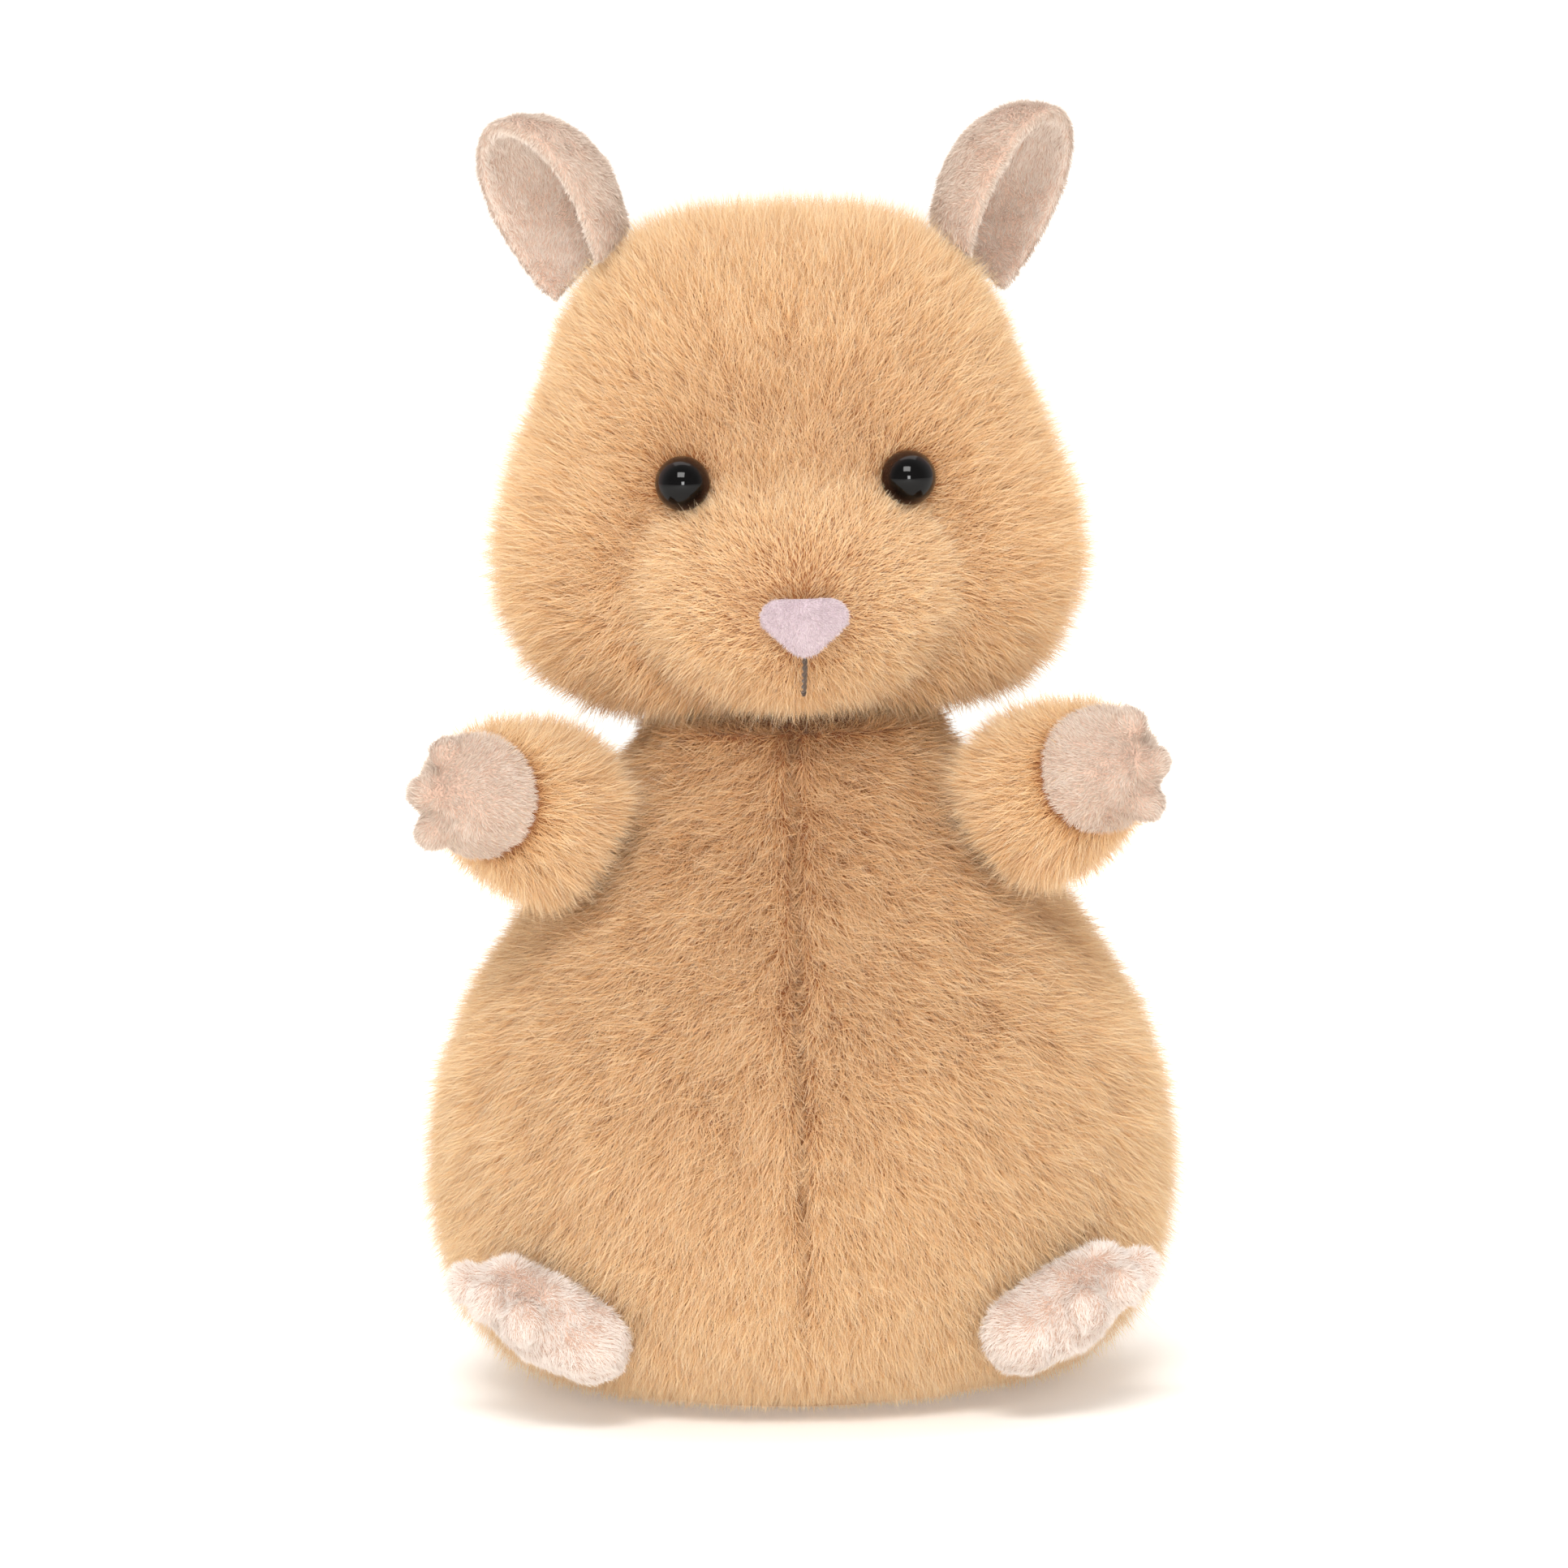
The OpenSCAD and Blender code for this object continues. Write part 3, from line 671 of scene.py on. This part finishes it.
# %% The pile tree
def pile_tree():
    inputs = {"Hair": "Object", "Finish": "Material", "Density": "Float", "Seed": "Int", "Width": "Float",
              "Ruffle": "Float", "Stray": "Float", "Shortest": "Float", "Wisps": "Float", "Tone Spread": "Float"}
    t = Tree("pile", inputs)
    given = {name: t.given.outputs[name] for name in ("Geometry", *inputs)}
    spread = add_node(t.tree, "GeometryNodeDistributePointsOnFaces", None,
                      {"Mesh": given["Geometry"], "Density": given["Density"], "Seed": given["Seed"]})
    roots, normal = spread.outputs["Points"], spread.outputs["Normal"]
    place = t.node("GeometryNodeInputPosition")
    comb = t.attribute("comb", "FLOAT_VECTOR")
    length = t.vector("LENGTH", comb, out="Value")
    # Broad waves turn whole locks, fine ones turn tufts, and each hair strays a little by itself.
    waves = t.vector("ADD", t.ruffle(place, 7 * MM, 2.2), t.ruffle(place, 1.6 * MM, 1.8))
    waves = t.scaled(waves, t.math("MULTIPLY", length, given["Ruffle"]))
    stray = t.random((-1, -1, -1), (1, 1, 1), 11, "FLOAT_VECTOR")
    stray = t.scaled(stray, t.math("MULTIPLY", length, given["Stray"]))
    lean = t.vector("ADD", t.vector("ADD", comb, waves), stray)
    # A hair that would lie in the cloth is lifted out of it.
    rise = t.vector("DOT_PRODUCT", lean, normal, out="Value")
    lift = t.math("MAXIMUM", t.math("SUBTRACT", t.math("MULTIPLY", length, 0.25), rise), 0.0)
    lean = t.vector("ADD", lean, t.scaled(normal, lift))
    wisp = t.math("LESS_THAN", t.random(0.0, 1.0, 13), given["Wisps"])
    reach = t.math("ADD", t.random(given["Shortest"], 1.0, 12), t.math("MULTIPLY", wisp, 0.4))
    reach = t.math("MULTIPLY", length, reach)
    turn = t.node("FunctionNodeAxesToRotation", {"primary_axis": "Z", "secondary_axis": "X"},
                  {"Primary Axis": lean, "Secondary Axis": normal})
    twist = t.node("FunctionNodeAxisAngleToRotation", None, {"Axis": (0, 0, 1), "Angle": t.random(-1.0, 1.0, 14)})
    turn = t.node("FunctionNodeRotateRotation", {"rotation_space": "LOCAL"}, {"Rotation": turn, "Rotate By": twist})
    width = t.math("MULTIPLY", given["Width"], t.random(0.7, 1.3, 15))
    width = t.math("MULTIPLY", width, t.math("SUBTRACT", 1.0, t.math("MULTIPLY", wisp, 0.4)))
    size = t.node("ShaderNodeCombineXYZ", None, {"X": 1.0, "Y": width, "Z": reach})
    patch = t.node("ShaderNodeSeparateXYZ", None, {"Vector": t.ruffle(place, 3 * MM, 0.9)})
    own = t.math("MULTIPLY", t.random(-1.0, 1.0, 16), given["Tone Spread"])
    tone = t.math("ADD", t.attribute("tone"), t.math("ADD", t.math("MULTIPLY", patch, given["Tone Spread"]), own))
    tone = t.node("ShaderNodeClamp", None, {"Value": tone, "Min": 0.02, "Max": 0.98})
    roots = t.store(roots, "tone", tone, "FLOAT", "POINT")
    source = t.node("GeometryNodeObjectInfo", None, {"Object": given["Hair"]}, "Geometry")
    grown = t.node("GeometryNodeInstanceOnPoints", None,
                   {"Points": roots, "Instance": source, "Rotation": turn, "Scale": size})
    grown = t.node("GeometryNodeRealizeInstances", None, {"Geometry": grown})
    along = add_node(t.tree, "ShaderNodeSeparateXYZ", None, {"Vector": t.attribute(MAP, "FLOAT_VECTOR")}).outputs
    shifted = t.math("ADD", along["X"], t.attribute("tone"))
    spot = t.node("ShaderNodeCombineXYZ", None, {"X": shifted, "Y": along["Y"]})
    grown = t.store(grown, MAP, spot, "FLOAT2", "CORNER")
    grown = t.node("GeometryNodeSetMaterial", None, {"Geometry": grown, "Material": given["Finish"]})
    t.tree.links.new(grown, t.result.inputs["Geometry"])
    return t


PILE = pile_tree()
print("pile tree of", len(PILE.tree.nodes), "nodes")

# %% Grow pile on part of a form
AMOUNT = 1.0


def ground(name, form, keep, comb):
    """The part of a form's surface where keep holds, with its comb direction and tone on each corner."""
    mesh = form.data
    mesh.calc_loop_triangles()
    tris = np.empty(len(mesh.loop_triangles) * 3, np.int32)
    mesh.loop_triangles.foreach_get("vertices", tris)
    tris = tris.reshape(-1, 3)
    points, normals = points_of(mesh), normals_of(mesh)
    tris = tris[keep(points[tris].mean(1), unit(normals[tris].mean(1)))]
    used, tris = np.unique(tris, return_inverse=True)
    lean, tone = comb(points[used], normals[used])
    # Painted shade: pile in a form's hollows, between the toes and in the palms' dips, is darker.
    if "hollow" in mesh.attributes:
        hollow = np.empty(len(points), np.float32)
        mesh.attributes["hollow"].data.foreach_get("value", hollow)
        tone = tone - 0.9 * np.maximum(hollow[used], 0)
    made = bpy.data.meshes.new(name)
    made.from_pydata(points[used], [], tris.reshape(-1, 3))
    smooth_shaded(link(name, made))
    made.attributes.new("comb", "FLOAT_VECTOR", "POINT").data.foreach_set("vector", lean.astype(np.float32).ravel())
    made.attributes.new("tone", "FLOAT", "POINT").data.foreach_set("value", tone.astype(np.float32))
    return bpy.data.objects[name]


def grow(name, form, keep, comb, finish, seed, **settings):
    """A pile piece that grows on a form."""
    obj = ground(name, form, keep, comb)
    values = {"Hair": hair, "Finish": finish, "Seed": seed, **settings}
    values["Density"] *= AMOUNT / MM**2
    values["Width"] *= MM / AMOUNT**0.5
    modifier = obj.modifiers.new("pile", "NODES")
    modifier.node_group = PILE.tree
    for label, value in values.items():
        modifier[PILE.keys[label]] = value
    settled(obj)
    for attribute in [a for a in obj.data.attributes if a.name in ("comb", "tone")]:
        obj.data.attributes.remove(attribute)
    print(name, len(obj.data.polygons), "hairs")
    return obj


def lay(along, normal, angle, length):
    """Hairs that lean along a direction, by an angle in degrees from upright, their length in millimetres."""
    flat = unit(along - normal * (along * normal).sum(1, keepdims=True))
    a = np.radians(np.broadcast_to(angle, len(flat)))[:, None]
    return (flat * np.sin(a) + normal * np.cos(a)) * np.broadcast_to(length, len(flat))[:, None] * MM


# Hairs on each square millimetre, their width in millimetres, and shares of a hair's length or of all hairs
LONG = {"Density": 18.0, "Width": 0.115, "Ruffle": 0.55, "Stray": 0.56,
        "Shortest": 0.4, "Wisps": 0.08, "Tone Spread": 0.62}
SHORT = {"Density": 26.0, "Width": 0.13, "Ruffle": 1.1, "Stray": 0.34,
         "Shortest": 0.5, "Wisps": 0.01, "Tone Spread": 0.5}


# %% [markdown]
# ## Pile colours
# The dye is even. The ramp paints each hair darker near its root, as painted shade from its neighbours, and paler at
# its tip, as painted light. Some hairs are darker from end to end, which gives the pile its speckle. Thin hairs also
# let light through, so a part of the shader is translucent, and the outline of the toy glows against the light.

# %% Mix the pile colours
def pile_finish(name, dark, low, middle, tip, glow):
    """A pile colour from root to tip, with painted shade at the root and painted light at the tip. Hairs of a low tone
    are darker, and light shines through all of them.
    """
    paint = Paint(name)
    spot = paint.node("ShaderNodeUVMap", {"uv_map": MAP})
    tone = paint.node("ShaderNodeSeparateXYZ", None, {"Vector": spot}, "X")
    along = paint.node("ShaderNodeSeparateXYZ", None, {"Vector": spot}, "Y")
    pale = paint.node("ShaderNodeValToRGB", {"stops": [(0.0, low), (0.5, middle), (1.0, tip)]}, {"Fac": along})
    deep = paint.node("ShaderNodeValToRGB", {"stops": [(0.0, dark), (0.6, low), (1.0, middle)]}, {"Fac": along})
    paint.finish(base_color=paint.mix(tone, deep, pale), roughness=0.8, specular_ior_level=0.2,
                 sheen_weight=0.15, sheen_roughness=0.5)
    through = paint.node("ShaderNodeBsdfTranslucent", None, {"Color": glow})
    skin = Socket(paint, paint.tree.nodes["Principled BSDF"].outputs["BSDF"])
    both = paint.node("ShaderNodeMixShader", None, (0.26, skin, through))
    wire(paint.tree, paint.tree.nodes["Material Output"], {"Surface": both})
    return paint.material


golden = pile_finish("golden_pile", srgb(162, 106, 60), srgb(222, 173, 120), srgb(251, 223, 178), srgb(255, 248, 230),
                     srgb(254, 231, 190))
pink = pile_finish("pink_pile", srgb(178, 158, 142), srgb(218, 200, 184), srgb(246, 235, 225), srgb(254, 249, 243),
                   srgb(248, 237, 227))
pale_pink = pile_finish("pale_pink_pile", srgb(212, 194, 182), srgb(240, 229, 220), srgb(251, 244, 238),
                        srgb(255, 251, 248), srgb(252, 245, 239))
lilac = pile_finish("nose_nap", srgb(150, 130, 134), srgb(206, 190, 192), srgb(232, 220, 222), srgb(248, 242, 244),
                    srgb(236, 222, 226))


# %% [markdown]
# ## The way the pile lies
# The maker cuts each panel so that its pile runs one way, and brushing after sewing evens it. On the body it runs down
# and outwards from the belly seam. On the face it runs away from the nose, over the forehead and out along the
# cheeks. On a sleeve it runs away from the palm. Near the eyes and nose it is clipped short.

# %% Comb the torso
def torso_comb(p, n):
    x, y, z = p.T / MM
    front = step(-y, -10, 10)
    outward = np.tanh(x / 3) * (0.15 + 0.25 * step(z, 10, 60)) * (0.35 + 0.65 * front)
    low = step(z, 4, 24) * front
    outward += 0.45 * np.tanh(x / 0.5) * bump(x, 1.3) * low
    rim = 1 - step(z, 88, 94.5)
    along = np.stack([outward, np.zeros_like(x), -np.ones_like(x)], 1) * rim[:, None]
    along += unit(p * [1, 1, 0]) * (1 - rim)[:, None]
    wander = 0.35 * np.sin(z / 3.1) + 0.2 * np.sin(z / 1.3)
    parting = bump(x - wander, 0.55) * low
    length = 5.2 - 1.6 * parting - 1.3 * bump(x, 1.0) * low
    length += 1.5 * step(abs(x), 24, 48) - 1.4 * (1 - step(z, 0, 9)) - 2.0 * (1 - rim)
    angle = 57 + 4 * (1 - step(z, 0, 12)) - 10 * parting
    # Painted shade in the tone: darker along the seam's parting, on the upper front below the neck, at the height of
    # the arms away from the middle, and on the neck's face under the head. It is also a little paler at the sides and
    # low down.
    tone = 0.62 + 0.06 * step(abs(x), 10, 45) - 1.0 * parting - 0.24 * step(z, 60, 92) * front
    tone -= 0.14 * step(abs(x), 14, 28) * step(z, 58, 75)
    tone += 0.06 * (1 - step(z, 10, 45)) - 0.45 * (1 - rim)
    return lay(along, n, angle, length), tone


GORES = {"torso_front_left": (1, -1), "torso_front_right": (-1, -1),
         "torso_back_left": (1, 1), "torso_back_right": (-1, 1)}
pile = {}
for seed, (gore, (sx, sy)) in enumerate(GORES.items()):
    def keep(c, n, sx=sx, sy=sy):
        return (c[:, 0] * sx >= 0) & (c[:, 1] * sy > 0) & (c[:, 2] > 0.6 * MM) & (np.hypot(c[:, 0], c[:, 1]) > 9 * MM)
    pile[gore] = grow(f"{gore}_pile", torso, keep, torso_comb, golden, seed, **LONG)
    p = points_of(pile[gore].data)
    p[:, 2] = np.maximum(p[:, 2], 0.25 * MM)
    put_points(pile[gore].data, p)

# %% Comb the head and muzzle
nose_low, nose_high = (np.array(v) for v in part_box("nose"))
nose_tip = (nose_low + nose_high) / 2
between_eyes = (eyes["left"][0] + eyes["right"][0]) / 2
HEAD_TURN = math.atan2(between_eyes[0], -between_eyes[1])
ACROSS = np.array([math.cos(HEAD_TURN), math.sin(HEAD_TURN), 0])
HALF_CROWN = 9 * MM
nose_skin, mouth_skin = surface("nose"), surface("mouth_stitch")


def head_comb(p, n):
    away = np.linalg.norm(p - nose_tip, axis=1) / MM
    x, y, z = p.T / MM
    u = p @ ACROSS / MM
    behind = step(y, -5, 15)[:, None]
    along = unit(p - nose_tip) * (1 - behind) + np.array([0, 0.3, -1.0]) * behind
    cheek = step(abs(u), 22, 38) * (1 - step(z, 128, 142))
    crease = muzzle_crease(p)
    length = 1.9 + 2.6 * step(away, 5, 32) + 2.6 * cheek + 1.6 * step(z, 148, 160) + 1.8 * (1 - step(z, 97, 108))
    angle = 52 - 20 * step(z, 145, 160) - 4 * cheek + 4 * (1 - step(z, 97, 108))
    # The tone paints light and shade: the muzzle's mound and the crown are painted lighter, as where light falls, and
    # painted shade darkens the crease round the muzzle, most above it, and the underside of the head. The cheeks are a
    # little darker.
    tone = 0.55 + 0.05 * step(z, 135, 160) + 0.26 * step(away, 4, 18) * (1 - step(away, 26, 34)) - 0.1 * cheek
    tone -= (0.15 + 0.2 * step(z, 122, 128)) * crease + 0.3 * (1 - step(z, 95, 108))
    for eye, *_ in eyes.values():
        close = bump(np.linalg.norm(p - eye, axis=1) / MM, 6)
        length -= 0.62 * close * length
        # Painted shade in the dimple round each eye.
        tone -= 0.25 * close
        along = along + unit(p - eye) * (1.4 * close)[:, None]
    length = np.maximum(length * (1 - 0.5 * bump(distance(mouth_skin, p), 1.4)), 0.9)
    return lay(along, n, angle, length), tone


def bare(c):
    """True where the nose or an eye covers the head."""
    hidden = distance(nose_skin, c) < 0.25
    for eye, *_ in eyes.values():
        hidden |= np.linalg.norm(c - eye, axis=1) < 3.5 * MM
    return hidden


def on_muzzle(c):
    return distance(muzzle_skin, c) < distance(skull_skin, c)


def wedge(part):
    def keep(c, n):
        under = (c[:, 2] < 97.5 * MM) & (np.hypot(c[:, 0], c[:, 1]) < 9 * MM)
        return part(c) & ~bare(c) & ~under
    return keep


HEAD_PANELS = {
    "head_left": lambda c: (c @ ACROSS > HALF_CROWN) & ~on_muzzle(c),
    "head_right": lambda c: (c @ ACROSS < -HALF_CROWN) & ~on_muzzle(c),
    "head_crown": lambda c: (abs(c @ ACROSS) <= HALF_CROWN) & ~on_muzzle(c),
    "muzzle": on_muzzle}
for seed, (panel, part) in enumerate(HEAD_PANELS.items(), 10):
    pile[panel] = grow(f"{panel}_pile", head, wedge(part), head_comb, golden, seed, **LONG)


# %% Comb the sleeves
def arm_comb(side):
    centre = cad_points(f"arm_{side}_palm").mean(0)
    palm = surface(f"arm_{side}_palm")

    def comb(p, n):
        away = distance(palm, p)
        # Painted shade on the sleeve where it meets the palm; a little lighter a few millimetres further out.
        tone = 0.46 - 0.4 * bump(away - 0.8, 0.9) + 0.2 * bump(away - 5, 3.5)
        return lay(p - centre, n, 50, 3.4 + 2.5 * step(away, 0, 7)), tone

    def keep(c, n):
        return distance(palm, c) > 1.1
    return keep, comb


for seed, side in enumerate(SIDES, 20):
    pile[f"arm_{side}"] = grow(f"arm_{side}_sleeve_pile", arms[side], *arm_comb(side), golden, seed, **LONG)


# %% Comb the palms, feet, ears and nose
def short_comb(target, length, angle, tone):
    """Short pile that runs away from a point, or towards it where the angle is negative."""
    def comb(p, n):
        shade = tone(p) if callable(tone) else np.full(len(p), tone)
        return lay(p - target, n, angle, length), shade
    return comb


def everywhere(c, n):
    return np.full(len(c), True)


for seed, side in enumerate(SIDES, 30):
    palm_middle = cad_points(f"arm_{side}_palm").mean(0)
    foot_middle = cad_points(f"foot_{side}_filling").mean(0)
    ear_low, ear_high = (np.array(v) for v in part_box(f"ear_{side}_back"))
    ear_root = np.array([(ear_low[0] + ear_high[0]) / 2, (ear_low[1] + ear_high[1]) / 2, ear_low[2] - 4 * MM])
    upper, sole = foot_skins[side]
    inner, outer = surface(f"ear_{side}_front"), surface(f"ear_{side}_back")

    def ear_tone(p, inner=inner, outer=outer):
        return 0.05 + 0.9 * step(distance(outer, p) - distance(inner, p), -0.3, 0.5)

    def facing_out(c, n, middle=cad_points(f"arm_{side}_filling").mean(0)):
        return ((c - middle) * n).sum(1) > 0

    def foot_tone(p, upper=upper, sole=sole):
        # The sole is paler. Painted shade darkens the crease along the seam between sole and upper.
        crease = bump(distance(upper, p), 0.7) * bump(distance(sole, p), 0.7)
        return 0.76 + 0.18 * (distance(sole, p) < distance(upper, p)) - 0.35 * crease

    pile[f"arm_{side}_palm"] = grow(f"arm_{side}_palm_pile", palms[side], facing_out,
                                    short_comb(palm_middle, 1.2, 54, 0.14), pink, seed, **SHORT)
    pile[f"foot_{side}"] = grow(f"foot_{side}_pile", feet[side], everywhere,
                                short_comb(foot_middle + [0, 0, 8 * MM], 1.5, 56, foot_tone), pale_pink,
                                seed + 2, **SHORT)
    pile[f"ear_{side}"] = grow(f"ear_{side}_pile", ears[side], everywhere,
                               short_comb(ear_root, 1.2, -58, ear_tone), pink, seed + 4, **SHORT)
pile["nose"] = grow("nose_pile", nose, lambda c, n: n[:, 1] < -0.2,
                    short_comb(nose_tip + [0, 0, 3 * MM], 0.6, 45, 0.5), lilac, 40,
                    **SHORT | {"Density": 45.0, "Width": 0.1, "Stray": 0.6})
for form in (*feet.values(), *palms.values()):
    form.data.attributes.remove(form.data.attributes["hollow"])


# %% [markdown]
# ## Finishes under and beside the pile
# The knitted backing shows only where the pile parts, so it is painted in the dark colour of the roots, as painted
# shade, with a fine grain. The base is a plain woven cloth. The eyes are black plastic, turning dark brown towards the
# rim.

# %% Backings and cloths
def backing(name, dark, light):
    paint = Paint(name)
    grain = paint.noise(0.5 * MM)
    return paint.finish(relief=grain, depth=0.15 * MM, base_color=paint.mix(grain, dark, light), roughness=0.95,
                        sheen_weight=0.2)


# The golden and pink backings are painted in the dark root colour, as painted shade deep in the pile.
golden_backing = backing("golden_backing", srgb(126, 74, 38), srgb(160, 104, 60))
pink_backing = backing("pink_backing", srgb(200, 166, 146), srgb(222, 192, 174))
suede = backing("nose_suede", srgb(176, 156, 164), srgb(206, 188, 196))


def woven(name, dark, light, pitch):
    """Threads that go over and under one another, pitch metres apart."""
    paint = Paint(name)
    wave = {}
    for way in ("X", "Y"):
        coordinate = paint.node("ShaderNodeSeparateXYZ", None, {"Vector": paint.place()}, way)
        wave[way] = (coordinate * (math.pi / pitch)).math("SINE", coordinate * (math.pi / pitch))
    threads = 0.5 + 0.5 * (wave["X"] * wave["Y"])
    worn = paint.noise(6 * MM)
    colour = paint.mix(0.7 * threads + 0.3 * worn, dark, light)
    return paint.finish(relief=threads, depth=0.12 * MM, base_color=colour, roughness=0.9, sheen_weight=0.2)


base_weave = woven("base_weave", srgb(176, 128, 84), srgb(206, 158, 110), 0.5 * MM)

# %% Eye plastic and thread
paint = Paint("eye_plastic")
aside = paint.node("ShaderNodeAttribute", {"attribute_name": "aside"}, (), "Fac")
smudge = paint.noise(1.5 * MM)
# Black, turning dark brown towards the rim.
eye_plastic = paint.finish(
    base_color=paint.mix(aside.between(0.66, 0.95), srgb(7, 6, 6), srgb(44, 24, 18)),
    roughness=0.05 + 0.04 * smudge, specular_ior_level=0.22)

paint = Paint("mouth_thread")
strand = paint.noise(0.12 * MM)
thread = paint.finish(relief=strand, depth=0.05 * MM, roughness=0.7, sheen_weight=0.3,
                      base_color=paint.mix(strand, srgb(66, 50, 40), srgb(104, 84, 68)))


# %% Finishes of the parts inside
def moulded(name, dark, light, roughness):
    """Moulded plastic or cast pellets, a little uneven in colour and gloss."""
    paint = Paint(name)
    flow = paint.noise(4 * MM)
    pits = paint.noise(0.3 * MM)
    return paint.finish(relief=pits, depth=0.02 * MM, base_color=paint.mix(flow, dark, light),
                        roughness=roughness + 0.1 * flow)


INSIDE = {
    "joint_plastic": moulded("joint_plastic", srgb(226, 222, 208), srgb(236, 232, 220), 0.4),
    "lock_plastic": moulded("lock_plastic", srgb(176, 176, 178), srgb(196, 196, 198), 0.35),
    "pouch_cloth": woven("pouch_weave", srgb(214, 208, 196), srgb(240, 236, 226), 0.4 * MM),
    "beans": moulded("bean_pellets", srgb(206, 204, 198), srgb(232, 230, 226), 0.5)}
KIND = {"bean_pouch": "pouch_cloth", "bean_filling": "beans", "neck_lock": "lock_plastic"}
hidden = ["neck_washer", "neck_disc", "neck_lock", "bean_pouch", "bean_filling"]
hidden += [f"{n}_{s}" for s in SIDES for n in ("eye_washer", "shoulder_washer", "shoulder_disc", "shoulder_lock",
                                               "foot_washer", "foot_disc", "foot_lock")]
for name in hidden:
    kind = KIND.get(name, "lock_plastic" if "lock" in name else "joint_plastic")
    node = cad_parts[name].data
    node.materials.clear()
    node.materials.append(INSIDE[kind])
print(len(hidden), "hidden parts finished")


# %% [markdown]
# ## Which piece moves with which part
# Each visual piece rides on the moving body whose CAD solids it stands for, so that the head turns with its own pile.

# %% Ride and replace
def place_piece(piece, body, slot, *nodes, finish=None, fill=None):
    if finish:
        piece.data.materials.clear()
        piece.data.materials.append(finish)
    if nodes:
        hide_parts(*nodes)
    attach(piece, body)


place_piece(torso, "torso", "fur", *TORSO, "torso_filling", finish=golden_backing, fill=0.8)
place_piece(head, "head", "fur", "head_left", "head_right", "head_crown", "muzzle", "head_filling",
            finish=golden_backing, fill=0.9)
place_piece(base, "torso", "base_cloth", "base_panel", finish=base_weave)
place_piece(nose, "head", "nose_suede", "nose", finish=suede)
place_piece(mouth, "head", "thread", "mouth_stitch", finish=thread)
for s in SIDES:
    place_piece(arms[s], f"arm_{s}", "fur", f"arm_{s}_sleeve", f"arm_{s}_filling", finish=golden_backing, fill=0.9)
    place_piece(palms[s], f"arm_{s}", "short_pile", f"arm_{s}_palm", finish=pink_backing)
    place_piece(feet[s], f"foot_{s}", "short_pile", f"foot_{s}_upper", f"foot_{s}_sole", f"foot_{s}_filling",
                finish=pink_backing, fill=0.9)
    place_piece(ears[s], f"ear_{s}", "short_pile", f"ear_{s}_front", f"ear_{s}_back", finish=pink_backing)
    place_piece(eyes[s][2], "head", "eye_plastic", f"eye_{s}", finish=eye_plastic)
for name, piece in pile.items():
    body = {"tor": "torso", "hea": "head", "muz": "head", "nos": "head"}.get(name[:3]) or "_".join(name.split("_")[:2])
    slot = "nose_suede" if name == "nose" else "short_pile" if "palm" in name or name[:3] in ("foo", "ear") else "fur"
    place_piece(piece, body, slot)
print(len(pile), "pile pieces")
